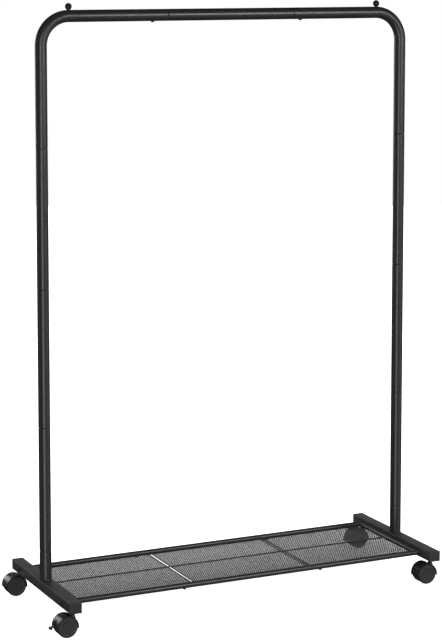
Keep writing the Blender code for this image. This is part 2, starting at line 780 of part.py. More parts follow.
def add_caster(side, end, shapes, materials, rack):
    name = f"{side}_{end}_caster"
    place = (SIDES[side] * HALF_SPACING, ENDS[end] * CASTER_Y, 0)
    swivel = add_empty(f"{name}_swivel_axis", rack, place)
    axle_centre = (-CASTER_TRAIL, 0, WHEEL_RADIUS)
    braked = (side, end) in BRAKED
    hood = shapes["braked_hood" if braked else "plain_hood"]
    add_part(f"{name}_stem", shapes["stem"].copy(), materials["stem"], swivel)
    add_part(f"{name}_hood", hood.copy(), materials["hood"], swivel)
    add_part(f"{name}_axle", shapes["axle"].copy(), materials["stem"], swivel, axle_centre)
    for which in ENDS:
        wheel = shapes[f"{which}_wheel"]
        add_part(f"{name}_{which}_wheel", wheel.copy(), materials["wheel"], swivel, axle_centre)
    if braked:
        pivot = (LEVER_PIVOT[0] - CASTER_TRAIL, 0, LEVER_PIVOT[1] + WHEEL_RADIUS)
        lever = shapes["lever"].copy()
        add_part(f"{side}_{end}_brake_lever", lever, materials["lever"], swivel, pivot)


def caster_shapes():
    axle_reach = WHEEL_INNER_Y + AXLE_IN_WHEEL
    return {
        "axle": rod(AXLE_RADIUS, -axle_reach, axle_reach, axis="Y"),
        "stem": stem_mesh(),
        "plain_hood": hood_mesh(braked=False),
        "braked_hood": hood_mesh(braked=True),
        "front_wheel": wheel_mesh(-1),
        "rear_wheel": wheel_mesh(1),
        "lever": lever_mesh(),
    }


# ---------------------------------------------------------------- whole rack

def clear_scene():
    for old in list(bpy.data.objects):
        bpy.data.objects.remove(old)


def build():
    clear_scene()
    coated_tube = coat("tube_coat", (0.030, 0.030, 0.031), 0.42)
    coated_bar = coat("bar_coat", (0.028, 0.028, 0.029), 0.50)
    coated_shelf = coat("shelf_coat", (0.026, 0.026, 0.027), 0.48)
    coated_mesh = coat("mesh_coat", (0.060, 0.060, 0.061), 0.55)
    cap_plastic = coat("cap_plastic", (0.024, 0.024, 0.025), 0.55)
    screw_black = coat("screw_black", (0.020, 0.020, 0.020), 0.35, 0.6)
    casters = {
        "stem": coat("caster_steel", (0.10, 0.10, 0.10), 0.40, 0.8),
        "hood": coat("hood_plastic", (0.020, 0.020, 0.021), 0.38),
        "wheel": coat("wheel_plastic", (0.030, 0.030, 0.031), 0.50),
        "lever": coat("lever_plastic", (0.020, 0.020, 0.021), 0.40),
    }
    rack = add_empty("rack", None, ((REACH_LEFT - REACH_RIGHT) / 2, 0, 0))
    shapes = caster_shapes()
    for side in SIDES:
        add_base_bar(side, coated_bar, rack)
        add_posts(side, coated_tube, rack)
        add_corner_tube(side, coated_tube, rack)
        add_rail_screw(side, screw_black, rack)
        add_end_stop(side, screw_black, rack)
        add_outer_shelf_frame(side, coated_shelf, rack)
        for end in ENDS:
            add_end_cap(side, end, cap_plastic, rack)
            add_shelf_bolt(side, end, screw_black, rack)
            add_joint_screw(side, end, screw_black, rack)
            add_caster(side, end, shapes, casters, rack)
    add_rail_middle(coated_tube, rack)
    add_middle_shelf_frame(coated_shelf, rack)
    add_shelf_meshes(coated_mesh, rack)


build()
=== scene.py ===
"""Looks of the rolling clothes rack: smooth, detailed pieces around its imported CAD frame, in metres."""

import json
import math

import bmesh
import bpy
import numpy as np
from mathutils import Matrix, Vector


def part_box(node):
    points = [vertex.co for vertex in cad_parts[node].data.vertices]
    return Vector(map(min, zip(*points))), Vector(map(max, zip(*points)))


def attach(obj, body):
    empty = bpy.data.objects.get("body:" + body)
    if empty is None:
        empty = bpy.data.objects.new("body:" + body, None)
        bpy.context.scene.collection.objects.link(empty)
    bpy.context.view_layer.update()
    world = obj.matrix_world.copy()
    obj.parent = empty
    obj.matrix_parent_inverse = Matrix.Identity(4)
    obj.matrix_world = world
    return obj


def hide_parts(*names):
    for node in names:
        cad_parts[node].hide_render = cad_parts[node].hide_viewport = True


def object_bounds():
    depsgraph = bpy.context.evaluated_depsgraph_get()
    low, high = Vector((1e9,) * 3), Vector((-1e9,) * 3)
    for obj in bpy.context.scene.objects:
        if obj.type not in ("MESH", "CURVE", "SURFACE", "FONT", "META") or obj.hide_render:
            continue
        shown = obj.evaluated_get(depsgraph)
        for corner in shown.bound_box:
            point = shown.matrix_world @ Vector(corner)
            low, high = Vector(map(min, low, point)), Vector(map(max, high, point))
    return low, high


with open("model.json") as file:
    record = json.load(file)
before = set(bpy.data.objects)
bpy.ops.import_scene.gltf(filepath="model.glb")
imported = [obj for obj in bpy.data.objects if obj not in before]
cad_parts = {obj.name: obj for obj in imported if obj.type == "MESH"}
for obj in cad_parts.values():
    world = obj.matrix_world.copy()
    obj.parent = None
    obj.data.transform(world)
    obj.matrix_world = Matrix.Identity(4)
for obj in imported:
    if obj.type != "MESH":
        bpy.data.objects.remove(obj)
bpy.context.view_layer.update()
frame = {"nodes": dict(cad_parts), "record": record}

SIDES = {"left": -1, "right": 1}
ENDS = {"front": -1, "rear": 1}
BODY_OF = {
    node: body
    for body, nodes in frame["record"]["behaviour"]["bodies"].items()
    for node in nodes
}

GAP = 0.0003  # between neighbouring pieces, as in the CAD

# Camera: where the picture was taken from, and its lens
CAMERA_FROM_MIDDLE = (-2.3755, -4.9647, 1.7238)  # from the point on the floor between the posts
CAMERA_YAW = 25.383
CAMERA_PITCH = 6.099
CAMERA_LENS = 114.77
CAMERA_SHIFT_Y = -0.219
CAMERA_SENSOR = 36
CAMERA_FAR = 60

# Stage, in metres
FLOOR_RADIUS = 9
FLOOR_SEGMENTS = 96
FLOOR_DROP = 0.0002  # under the wheels
FLOOR_SHADE = 0.86
FLOOR_GLOW = (1.0, 0.85)  # far from the middle, and at it
FLOOR_GLOW_SPREAD = 0.35
FLOOR_GLOW_RANGE = (0.05, 0.55)
LIGHTS_AIM = (0, 0, 0.8)

# Tubes
TUBE_SEGMENTS = 48
TUBE_WALL = 0.0012
SEAM_DEPTH = 0.0011  # tube ends are bevelled, so a seam is a narrow dark groove
SEAM_HALF_WIDTH = 0.0012
SEAM_EASE = 0.0001
ROD_EDGE = 0.0004
SPIGOT_OVERLAP = 0.015
BEND_RADIUS = 0.077
BEND_STEPS = 28
WELD_SIZE = 0.0028
WELD_PROFILE = ((0.0, 1.0), (0.25, 0.45), (0.55, 0.2), (1.0, 0.0), (0.0, -0.1))  # (out, up) shares
WELD_RIPPLES = 22
WELD_RIPPLE_SHARE = 0.12
WELD_THINNING = 1.5  # power by which the weld thins towards the bar's sides
WELD_CLEARANCE = 0.0001
WELD_SEGMENTS = 96

# End stops of the hanging rail, with heights above the rail
STOP_SHANK = 0.0029
STOP_NECK = 0.0043
STOP_NECK_FOOT = 0.0016
STOP_FLANGE = 0.0054
STOP_FLANGE_TOP = 0.0009
STOP_STEPS = 24

# Base
BAR_WALL = 0.0015
BAR_CORNER = 0.0016
BAR_END_EDGE = 0.0003
BAR_WELD_INSET = 0.0005  # from the bar's sides to the widest weld
CAP_CORNER = 0.0018
CAP_CORNER_SHRINK = 0.8  # of each inset
CAP_LEAST_CORNER = 0.0003
CAP_FACE = ((0.0, 0.0030), (0.0, 0.0009), (0.0001, 0.0005), (0.0003, 0.0002), (0.0007, 0.0))  # (back, in)
CAP_LIP = 0.0030
CAP_LIP_EDGE = 0.0003
CAP_PLUG_INSET = 0.0023
CAP_PLUG_CORNER = 0.0014

# Shelf
SHELF_SEGMENTS = 32
SHELF_WALL = 0.001
SHELF_TUBE_EDGE = 0.0007
SHELF_PLUG_LENGTH = 0.020  # solid end of a rail, with the bolt's bore in it
SHELF_PLUG_INSET = 0.0006
SHELF_BOLT_BORE = 0.0035
END_TUBE_SHARE = 0.96  # of the rails' radius
END_TUBE_SETBACK = 0.0005
CROSS_WIRE_INSET = 0.0063  # from the rail's middle to the wire's end
WIRE_WELD = 0.0034
WIRE_WELD_SQUASH = (1.0, 1.0, 0.8)
NODE_WELD = 0.0028
NODE_WELD_SQUASH = (1.0, 1.0, 1.1)
CORNER_WELD_SHARE = 0.8  # of the tubes' radii, out from their middles
CORNER_WELD_SQUASH = (1.0, 1.0, 1.6)
WIRE_RADIUS = 0.002
WIRE_SEGMENTS = 16
CENTRE_WIRE_Y = 0.011
CENTRE_WIRE_RISE = 0.003  # of the centre wire's middle above the cross wires'
CELL_WIDTH = 0.0062
CELL_DEPTH = 0.0093
STRAND_HALF_WIDTH = 0.00176
STRAND_THICKNESS = 0.0009
MESH_BORDER = 0.0010
BORDER_EDGE = 0.0003
BORDER_RISE = 0.0001  # above the strands
BORDER_SHOULDER = 0.6  # of its half thickness

# Screws, as shares of the head's radius and height unless they say otherwise
HEX_ACROSS_FLATS = 0.55  # of the head's diameter
HEAD_SEGMENTS = 36
HEAD_SHANK = 0.48
HEAD_SEAT = 0.92
HEAD_DOME = ((1.0, 0.10), (1.0, 0.38), (0.96, 0.62), (0.87, 0.82), (0.76, 0.95))  # (out, up)
HEAD_TOP = 0.68
SOCKET = ((1.0, 0.0), (0.95, 0.06), (0.95, 0.72))  # (of the flats, down)
SOCKET_POINT = 0.80
SCREW_SEAT = 0.0026  # metres under the head's top
BOLT_SEAT = 0.0030

# Casters, from the axle's middle
HOOD_SKIRT = 0.0052
HOOD_SHELL = 0.0016
HOOD_ARC_STEPS = 56
WEB_HALF_WIDTH = 0.007
WEB_EDGE = 0.0006
WEB_EDGE_SHRINK = 0.975
WHEEL_SEGMENTS = 72
AXLE_BORE = 0.0033
DRUM_INNER = 0.0105
DRUM_OUTER = 0.0220
DRUM_DEPTH = 0.0080
AXLE_BORE_DEPTH = 0.0110
WHEEL_BACK_EDGE = 0.0016
WHEEL_CHAMFER = 0.0030
WHEEL_EASE = 0.0005
TREAD_CROWN = (0.4, 0.6)  # shares of the width between which the tread is widest
TREAD_FALL = (0.0002, 0.0003)  # from there to its inner and outer edges
DISH_RADIUS = 0.0180
DISH_DEPTH = 0.0006
DISH_SLOPE = 0.0006
HOOD_EDGE = 0.0014
BOSS_RADIUS = 0.0060
BOSS_FOOT = 0.0060  # above the axle
BOSS_FOOT_FLARE = 0.0012
BOSS_FLARE = ((0.0030, -0.0040), (0.0012, 0.0014), (0.0, 0.0034))  # (out, up from the shoulder)
BOSS_EASE = 0.0012
BORE_EDGE = 0.0001
AXLE_BORE_OVERRUN = 0.003
STEM_BORE = 0.0044
STEM_BORE_OVERRUN = 0.001
STEM_SHANK = 0.0040
STEM_CHAMFER = 0.0008
STEM_EASE = 0.0002
STEM_COLLAR_GAP = 0.0006  # above the hood

# Brake levers, as places (x, z) from the axle's middle
LEVER_HALF_WIDTH = 0.0037
LEVER_EDGE = 0.0009
LEVER_ROD_SEGMENTS = 24
LEVER_ARM = (  # with half the arm's thickness, from the shoe past the pivot to the pedal
    (-0.0130, 0.0110, 0.0018),
    (-0.0170, 0.0062, 0.0020),
    (-0.0205, 0.0028, 0.0022),
    (-0.0260, 0.0038, 0.0021),
    (-0.0310, 0.0046, 0.0021),
    (-0.0355, 0.0020, 0.0020),
    (-0.0395, -0.0002, 0.0020),
)
LEVER_RODS = (  # place, radius, half length and edge of the pedal, the shoe and the pivot
    ((-0.0410, -0.0010), 0.0039, 0.0060, 0.0012),
    ((-0.0130, 0.0110), 0.0022, 0.0120, 0.0004),
    ((-0.0205, 0.0025), 0.0015, 0.0066, 0.0002),
)
LEVER_SLOTS = (  # corners and half width of the room in the shell, in the web and over the shoe
    ((-0.0275, -0.0080), (-0.0080, 0.0175), 0.0046),
    ((-0.0330, -0.0080), (-0.0260, 0.0095), 0.0046),
    ((-0.0190, 0.0070), (-0.0085, 0.0165), 0.0100),
)
LEVERS = (("left", "front"), ("right", "rear"))

# Coats: sizes and detail of patterns, and where along a pattern's value a mark starts and is full
POWDER_CLOUDS = (0.080, 3)
POWDER_PATCHES = (0.030, 4)
MOULD_FLOW = (0.015, 4)
STEEL_BLOTCHES = (0.004, 4)
WEAR_PATCHES = (0.004, 3)
WEAR_PATCH_RANGE = (0.35, 0.65)
WEAR_LEAST = 0.3
WORN_POINTINESS = (0.51, 0.60)
HAIRLINES = (0.010, 2)
HAIRLINE_RANGE = (0.66, 0.72)
MIDTONES = (0.3, 0.7)

# Coats: how far a pattern is stretched along X, Y and Z, and the size and depth of fine relief
SCUFFS_ALONG_X = (0.5, 14, 14)
SCUFFS_ALONG_Y = (14, 0.5, 14)
SCUFFS_ALONG_Z = (14, 14, 0.5)
SCUFFS_EVERY_WAY = (6, 6, 6)
FLOW_ALONG_Z = (1, 1, 0.4)
TURNING_ROUND_Z = (1, 1, 4)
ORANGE_PEEL = (0.0016, 0.00005)
POWDER_GRAIN = (0.0004, 0.00002)
MOULD_WAVES = (0.003, 0.00004)
MOULD_GRAIN_DEPTH = 0.00006
TURNING_MARKS = (0.0006, 0.00003)


# ---------------------------------------------------------------- outlines and shapes

LONGEST_EASE = 0.49  # of a side's length
SMALLEST_RADIUS = 1e-7  # a smaller ring is a tip
AXES = {"X": (2, 0, 1), "Y": (1, 2, 0), "Z": (0, 1, 2)}  # picks X, Y and Z from (u, v, along)


def rounded(points, radius, steps=4, closed=False):
    """An outline whose corners turn over a curve that starts radius before each of them."""
    result = []
    count = len(points)
    for i, point in enumerate(points):
        if not closed and i in (0, count - 1):
            result.append(tuple(point))
            continue
        corner = Vector(point)
        back = Vector(points[i - 1]) - corner
        onward = Vector(points[(i + 1) % count]) - corner
        start = corner + back.normalized() * min(radius, LONGEST_EASE * back.length)
        end = corner + onward.normalized() * min(radius, LONGEST_EASE * onward.length)
        for step in range(steps + 1):
            t = step / steps
            result.append(tuple((1 - t) ** 2 * start + 2 * t * (1 - t) * corner + t * t * end))
    return result


def rectangle(half_width, half_height, corner=0.0):
    points = [
        (-half_width, -half_height),
        (half_width, -half_height),
        (half_width, half_height),
        (-half_width, half_height),
    ]
    return rounded(points, corner, closed=True) if corner else points


def circle(radius, segments):
    turn = 2 * math.pi / segments
    return [(radius * math.cos(i * turn), radius * math.sin(i * turn)) for i in range(segments)]


def add_skin(shape, rings, ends="filled"):
    """Faces through rings of points. A ring of one point is a tip. The ends are filled or joined."""
    made = [[shape.verts.new(point) for point in ring] for ring in rings]
    pairs = list(zip(made, made[1:]))
    if ends == "joined":
        pairs.append((made[-1], made[0]))
    for first, second in pairs:
        count = max(len(first), len(second))
        for i in range(count):
            j = (i + 1) % count
            corners = (
                first[i % len(first)],
                first[j % len(first)],
                second[j % len(second)],
                second[i % len(second)],
            )
            shape.faces.new(dict.fromkeys(corners))
    if ends == "filled":
        for ring in (made[0], made[-1]):
            if len(ring) > 2:
                shape.faces.new(ring)


def add_turned(shape, profile, centre, axis="Z", segments=TUBE_SEGMENTS, ends="filled"):
    """A profile of (radius, height) turned about an axis through centre."""
    rings = []
    for radius, height in profile:
        ring = circle(radius, segments) if radius > SMALLEST_RADIUS else [(0.0, 0.0)]
        places = [(u, v, height) for u, v in ring]
        rings.append([Vector([place[i] for i in AXES[axis]]) + Vector(centre) for place in places])
    add_skin(shape, rings, ends)


def add_sleeve(shape, start, end, outside, inside, centre, axis, edge, segments=TUBE_SEGMENTS):
    """A length of open tube with rounded ends."""
    corners = [(inside, start), (outside, start), (outside, end), (inside, end)]
    profile = rounded(corners, edge, closed=True)
    add_turned(shape, profile, centre, axis, segments, ends="joined")


def bevelled_end(outside, wall):
    """(distance from the end, radius) points of a tube end that slopes in to make a groove."""
    corners = [
        (0, outside - wall),
        (0, outside - SEAM_DEPTH),
        (SEAM_HALF_WIDTH, outside),
        (SEAM_HALF_WIDTH * 3, outside),
    ]
    return rounded(corners, SEAM_EASE, steps=2)


def add_tube(shape, start, end, radius, centre, axis):
    """A length of the arch's tube, with both ends bevelled."""
    rim = bevelled_end(radius, TUBE_WALL)
    profile = [(r, start + along) for along, r in rim]
    profile += [(r, end - along) for along, r in reversed(rim)]
    add_turned(shape, profile, centre, axis, ends="joined")


def add_spigot(shape, start, end, radius, centre, axis):
    """The narrowed end of a tube of that radius, which goes inside the next one."""
    outside = radius - TUBE_WALL - GAP
    add_sleeve(shape, start, end, outside, outside - TUBE_WALL, centre, axis, ROD_EDGE)


def add_rod(shape, start, end, radius, centre, axis, segments=WIRE_SEGMENTS, edge=ROD_EDGE):
    """A solid round bar with rounded ends."""
    corners = [(0, start), (radius, start), (radius, end), (0, end)]
    add_turned(shape, rounded(corners, edge), centre, axis, segments)


def add_swept(shape, stations, centre, ends="filled"):
    """Outlines of (across, y) carried along (x, z, angle, outline) stations in the XZ plane.

    The angle turns each outline about Y. At zero the path runs along Z there.
    """
    rings = []
    for x, z, angle, outline in stations:
        turn = Matrix.Rotation(angle, 3, "Y")
        place = Vector((x, 0, z)) + Vector(centre)
        rings.append([turn @ Vector((across, y, 0)) + place for across, y in outline])
    add_skin(shape, rings, ends)


def add_extruded(shape, outlines, centre):
    """Outlines of (x, z) at given y places, joined into one solid."""
    rings = [[Vector((x, y, z)) + Vector(centre) for x, z in outline] for y, outline in outlines]
    add_skin(shape, rings)


def add_bead(shape, centre, radius, squash=(1, 1, 1)):
    """A weld bead: a smooth lump on a joint."""
    made = bmesh.ops.create_uvsphere(shape, u_segments=16, v_segments=10, radius=radius)
    bmesh.ops.scale(shape, vec=squash, verts=made["verts"])
    bmesh.ops.translate(shape, vec=centre, verts=made["verts"])


def helper_object(shape):
    data = bpy.data.meshes.new("helper")
    bmesh.ops.recalc_face_normals(shape, faces=shape.faces)
    shape.to_mesh(data)
    shape.free()
    made = bpy.data.objects.new("helper", data)
    bpy.context.scene.collection.objects.link(made)
    return made


def combined(base, steps):
    """One shape from a base shape and Boolean steps of (operation, shape)."""
    target = helper_object(base)
    helpers = [target]
    for operation, other in steps:
        helper = helper_object(other)
        helpers.append(helper)
        modifier = target.modifiers.new(operation, "BOOLEAN")
        modifier.operation = operation
        modifier.solver = "EXACT"
        modifier.object = helper
    graph = bpy.context.evaluated_depsgraph_get()
    result = bmesh.new()
    result.from_mesh(target.evaluated_get(graph).to_mesh())
    for used in helpers:
        bpy.data.objects.remove(used)
    return result


def middle(node):
    low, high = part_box(node)
    return (low + high) / 2


# ---------------------------------------------------------------- materials

class Nodes:
    """A new material with a Principled shader, and short ways to add the nodes before it."""

    def __init__(self, name):
        self.material = bpy.data.materials.new(name)
        self.material.use_nodes = True
        self.tree = self.material.node_tree
        self.shader = self.tree.nodes["Principled BSDF"]
        self.place = self.add("ShaderNodeTexCoord").outputs["Object"]

    def add(self, kind, **settings):
        node = self.tree.nodes.new(kind)
        for name, value in settings.items():
            setattr(node, name, value)
        return node

    def join(self, output, target):
        self.tree.links.new(output, target)

    def stretched(self, scale):
        mapping = self.add("ShaderNodeMapping")
        mapping.inputs["Scale"].default_value = scale
        self.join(self.place, mapping.inputs["Vector"])
        return mapping.outputs["Vector"]

    def noise(self, size, detail, place=None):
        """Noise from 0 to 1 with lumps about size metres across."""
        node = self.add("ShaderNodeTexNoise")
        node.inputs["Scale"].default_value = 1 / size
        node.inputs["Detail"].default_value = detail
        self.join(place or self.place, node.inputs["Vector"])
        return node.outputs["Fac"]

    def ranged(self, value, low, high, new_low, new_high):
        node = self.add("ShaderNodeMapRange")
        numbers = zip(("From Min", "From Max", "To Min", "To Max"), (low, high, new_low, new_high))
        for name, number in numbers:
            node.inputs[name].default_value = number
        self.join(value, node.inputs["Value"])
        return node.outputs["Result"]

    def multiplied(self, first, second):
        node = self.add("ShaderNodeMath", operation="MULTIPLY")
        self.join(first, node.inputs[0])
        self.join(second, node.inputs[1])
        return node.outputs["Value"]

    def mixed(self, amount, first, second):
        """Between two colours, each given as a colour or as another node's output."""
        node = self.add("ShaderNodeMix", data_type="RGBA")
        self.join(amount, node.inputs["Factor"])
        for socket, colour in ((node.inputs[6], first), (node.inputs[7], second)):
            if isinstance(colour, tuple):
                socket.default_value = (*colour, 1)
            else:
                self.join(colour, socket)
        return node.outputs[2]

    def bump(self, height, depth, under=None):
        node = self.add("ShaderNodeBump")
        node.inputs["Strength"].default_value = 1.0
        node.inputs["Distance"].default_value = depth
        self.join(height, node.inputs["Height"])
        if under is not None:
            self.join(under, node.inputs["Normal"])
        return node.outputs["Normal"]

    def relief(self, size, depth, place=None, under=None):
        """Fine bumps from noise with lumps about size metres across."""
        return self.bump(self.noise(size, 2, place), depth, under)

    def worn_edges(self, amount):
        """How much an outer edge is rubbed, from 0 to amount, broken up by noise."""
        edges = self.add("ShaderNodeNewGeometry").outputs["Pointiness"]
        patches = self.ranged(self.noise(*WEAR_PATCHES), *WEAR_PATCH_RANGE, WEAR_LEAST, 1)
        return self.multiplied(self.ranged(edges, *WORN_POINTINESS, 0, amount), patches)

    def scuffs(self, scale, amount):
        """Thin, sparse hairline marks, from 0 to amount."""
        lines = self.noise(*HAIRLINES, self.stretched(scale))
        return self.ranged(lines, *HAIRLINE_RANGE, 0, amount)

    def finished(self, colour, roughness, normal):
        self.join(colour, self.shader.inputs["Base Color"])
        self.join(roughness, self.shader.inputs["Roughness"])
        self.join(normal, self.shader.inputs["Normal"])
        return self.material


def shade(value):
    return (value, value, value * 1.02)


def powder_coat(name, darkness, roughness, scuff_scale):
    """Black powder coat: orange peel under a fine grain, greyer along edges, with faint hairlines."""
    nodes = Nodes(name)
    cloudy = nodes.noise(*POWDER_CLOUDS)
    colour = nodes.mixed(cloudy, shade(darkness * 0.85), shade(darkness * 1.2))
    colour = nodes.mixed(nodes.scuffs(scuff_scale, 0.35), colour, shade(darkness * 3))
    colour = nodes.mixed(nodes.worn_edges(0.6), colour, shade(darkness * 4))
    patchy = nodes.noise(*POWDER_PATCHES)
    rough = nodes.ranged(patchy, *MIDTONES, roughness - 0.04, roughness + 0.05)
    peel = nodes.relief(*ORANGE_PEEL)
    grain = nodes.relief(*POWDER_GRAIN, under=peel)
    return nodes.finished(colour, rough, grain)


def moulded_plastic(name, darkness, roughness, grain_size):
    """Black plastic with a fine spark-eroded grain, flow clouding and slightly shiny rubbed edges."""
    nodes = Nodes(name)
    flow = nodes.noise(*MOULD_FLOW, nodes.stretched(FLOW_ALONG_Z))
    colour = nodes.mixed(flow, shade(darkness * 0.8), shade(darkness * 1.3))
    colour = nodes.mixed(nodes.worn_edges(0.5), colour, shade(darkness * 3))
    rough = nodes.ranged(flow, *MIDTONES, roughness - 0.05, roughness + 0.06)
    cells = nodes.add("ShaderNodeTexVoronoi", feature="SMOOTH_F1")
    cells.inputs["Scale"].default_value = 1 / grain_size
    nodes.join(nodes.place, cells.inputs["Vector"])
    grain = nodes.bump(cells.outputs["Distance"], MOULD_GRAIN_DEPTH)
    waves = nodes.relief(*MOULD_WAVES, under=grain)
    return nodes.finished(colour, rough, waves)


def blackened_steel(name, darkness, roughness, metallic, specular):
    """Screws, end stops, stems and axles: dark oxide with turning marks and brighter edges."""
    nodes = Nodes(name)
    nodes.shader.inputs["Metallic"].default_value = metallic
    nodes.shader.inputs["Specular IOR Level"].default_value = specular
    blotches = nodes.noise(*STEEL_BLOTCHES)
    colour = nodes.mixed(blotches, shade(darkness * 0.7), shade(darkness * 1.4))
    colour = nodes.mixed(nodes.worn_edges(0.8), colour, shade(min(1.0, darkness * 5)))
    rough = nodes.ranged(blotches, *MIDTONES, roughness - 0.08, roughness + 0.08)
    marks = nodes.relief(*TURNING_MARKS, place=nodes.stretched(TURNING_ROUND_Z))
    return nodes.finished(colour, rough, marks)


COATS = {
    "tube_coat": (powder_coat, dict(darkness=0.010, roughness=0.33, scuff_scale=SCUFFS_ALONG_Z)),
    "bar_coat": (powder_coat, dict(darkness=0.011, roughness=0.42, scuff_scale=SCUFFS_ALONG_Y)),
    "shelf_coat": (powder_coat, dict(darkness=0.010, roughness=0.31, scuff_scale=SCUFFS_ALONG_X)),
    "mesh_coat": (powder_coat, dict(darkness=0.020, roughness=0.50, scuff_scale=SCUFFS_EVERY_WAY)),
    "cap_plastic": (moulded_plastic, dict(darkness=0.0100, roughness=0.52, grain_size=0.0007)),
    "screw_black": (
        blackened_steel, dict(darkness=0.008, roughness=0.45, metallic=0.2, specular=0.15)
    ),
    "caster_steel": (
        blackened_steel, dict(darkness=0.060, roughness=0.38, metallic=0.9, specular=0.5)
    ),
    "hood_plastic": (moulded_plastic, dict(darkness=0.0075, roughness=0.28, grain_size=0.0006)),
    "wheel_plastic": (moulded_plastic, dict(darkness=0.0100, roughness=0.50, grain_size=0.0008)),
    "lever_plastic": (moulded_plastic, dict(darkness=0.0080, roughness=0.40, grain_size=0.0006)),
}
MATERIALS = {name: coat(name, **settings) for name, (coat, settings) in COATS.items()}


def dress(name, data, slot, node, sharp=38):
    """Shades a mesh, gives it its coat, and hangs it on the CAD body of the node that it replaces."""
    data.materials.clear()
    data.materials.append(MATERIALS[slot])
    data.shade_smooth()
    data.set_sharp_from_angle(angle=math.radians(sharp))
    piece = bpy.data.objects.new(name, data)
    bpy.context.scene.collection.objects.link(piece)
    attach(piece, BODY_OF[node])
    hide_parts(node)


def add_piece(node, shape, slot, sharp=38):
    data = bpy.data.meshes.new(f"{node}_look")
    bmesh.ops.recalc_face_normals(shape, faces=shape.faces)
    shape.to_mesh(data)
    shape.free()
    dress(f"{node}_look", data, slot, node, sharp)


# ---------------------------------------------------------------- arch

def add_stub_weld(shape, centre, radius, half_width):
    """The weld round the foot of a post: a rippled fillet, thin where the tube meets the bar's sides."""
    rings = []
    for share_out, share_up in WELD_PROFILE:
        ring = []
        for step in range(WELD_SEGMENTS):
            angle = 2 * math.pi * step / WELD_SEGMENTS
            room = abs(math.sin(angle)) ** WELD_THINNING
            ripple = 1 + WELD_RIPPLE_SHARE * math.sin(WELD_RIPPLES * angle)
            size = WELD_SIZE * room * ripple
            reach = radius + WELD_CLEARANCE + size * share_out
            x = max(-half_width, min(half_width, reach * math.cos(angle)))
            ring.append(Vector((x, reach * math.sin(angle), size * share_up)) + centre)
        rings.append(ring)
    add_skin(shape, rings, ends="joined")


def add_post(side):
    chain = ["post_stub", "lower_post", "middle_post", "upper_post", "corner_tube"]
    for name, above in zip(chain, chain[1:]):
        node = f"{side}_{name}"
        low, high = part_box(node)
        radius = (high.x - low.x) / 2
        centre = Vector(((low.x + high.x) / 2, (low.y + high.y) / 2, 0))
        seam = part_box(f"{side}_{above}")[0].z - GAP
        shape = bmesh.new()
        add_tube(shape, low.z, seam, radius, centre, "Z")
        add_spigot(shape, seam - SPIGOT_OVERLAP, high.z, radius, centre, "Z")
        if name == "post_stub":
            bar_low, bar_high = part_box(f"{side}_base_bar")
            foot = Vector((centre.x, centre.y, low.z))
            add_stub_weld(shape, foot, radius, (bar_high.x - bar_low.x) / 2 - BAR_WELD_INSET)
        add_piece(node, shape, "tube_coat")


def tube_stations(path, outside, inside):
    """Stations of a round tube along (x, z, angle) points: the outer wall, then the bore."""
    rim = bevelled_end(outside, outside - inside)

    def moved(point, distance):
        x, z, angle = point
        return x + distance * math.sin(angle), z + distance * math.cos(angle), angle

    stations = [(*moved(path[0], along), circle(radius, TUBE_SEGMENTS)) for along, radius in rim]
    stations += [(*point, circle(outside, TUBE_SEGMENTS)) for point in path[1:-1]]
    stations += [
        (*moved(path[-1], -along), circle(radius, TUBE_SEGMENTS)) for along, radius in reversed(rim)
    ]
    stations += [(*point, circle(inside, TUBE_SEGMENTS)) for point in reversed(path)]
    return stations


def add_corner_tube(side):
    sign = SIDES[side]
    low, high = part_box(f"{side}_corner_tube")
    post = middle(f"{side}_upper_post")
    rail_low, rail_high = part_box("rail_middle_tube")
    rail_z = (rail_low.z + rail_high.z) / 2
    radius = (rail_high.z - rail_low.z) / 2
    seam_x = low.x if sign > 0 else high.x
    path = [(post.x, low.z, 0)]
    for step in range(BEND_STEPS + 1):
        angle = math.pi / 2 * step / BEND_STEPS
        x = post.x - sign * BEND_RADIUS * (1 - math.cos(angle))
        z = rail_z + BEND_RADIUS * (math.sin(angle) - 1)
        path.append((x, z, -sign * angle))
    path.append((seam_x, rail_z, -sign * math.pi / 2))
    shape = bmesh.new()
    stations = tube_stations(path, radius, radius - TUBE_WALL)
    add_swept(shape, stations, (0, post.y, 0), ends="joined")
    add_piece(f"{side}_corner_tube", shape, "tube_coat")


def add_rail_middle():
    low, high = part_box("rail_middle_tube")
    left_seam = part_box("left_corner_tube")[1].x + 2 * GAP
    right_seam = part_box("right_corner_tube")[0].x - 2 * GAP
    centre = Vector((0, (low.y + high.y) / 2, (low.z + high.z) / 2))
    radius = (high.z - low.z) / 2
    shape = bmesh.new()
    add_tube(shape, left_seam, right_seam, radius, centre, "X")
    add_spigot(shape, low.x, left_seam + SPIGOT_OVERLAP, radius, centre, "X")
    add_spigot(shape, right_seam - SPIGOT_OVERLAP, high.x, radius, centre, "X")
    add_piece("rail_middle_tube", shape, "tube_coat")


def add_end_stop(side):
    """The ball at the end of the hanging rail, on a waisted neck."""
    node = f"{side}_end_stop"
    low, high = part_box(node)
    centre = Vector(((low.x + high.x) / 2, (low.y + high.y) / 2, 0))
    radius = (high.y - low.y) / 2
    ball_z = high.z - radius
    rail_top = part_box("rail_middle_tube")[1].z
    foot = rail_top + GAP
    profile = [
        (0, low.z),
        (STOP_SHANK, low.z),
        (STOP_SHANK, foot),
        (STOP_FLANGE, foot),
        (STOP_FLANGE, foot + STOP_FLANGE_TOP),
        (STOP_NECK, foot + STOP_NECK_FOOT),
    ]
    lowest = -math.acos(STOP_NECK / radius)
    for step in range(STOP_STEPS + 1):
        angle = lowest + (math.pi / 2 - lowest) * step / STOP_STEPS
        profile.append((radius * math.cos(angle), ball_z + radius * math.sin(angle)))
    shape = bmesh.new()
    add_turned(shape, profile, centre)
    add_piece(node, shape, "screw_black")


# ---------------------------------------------------------------- screws

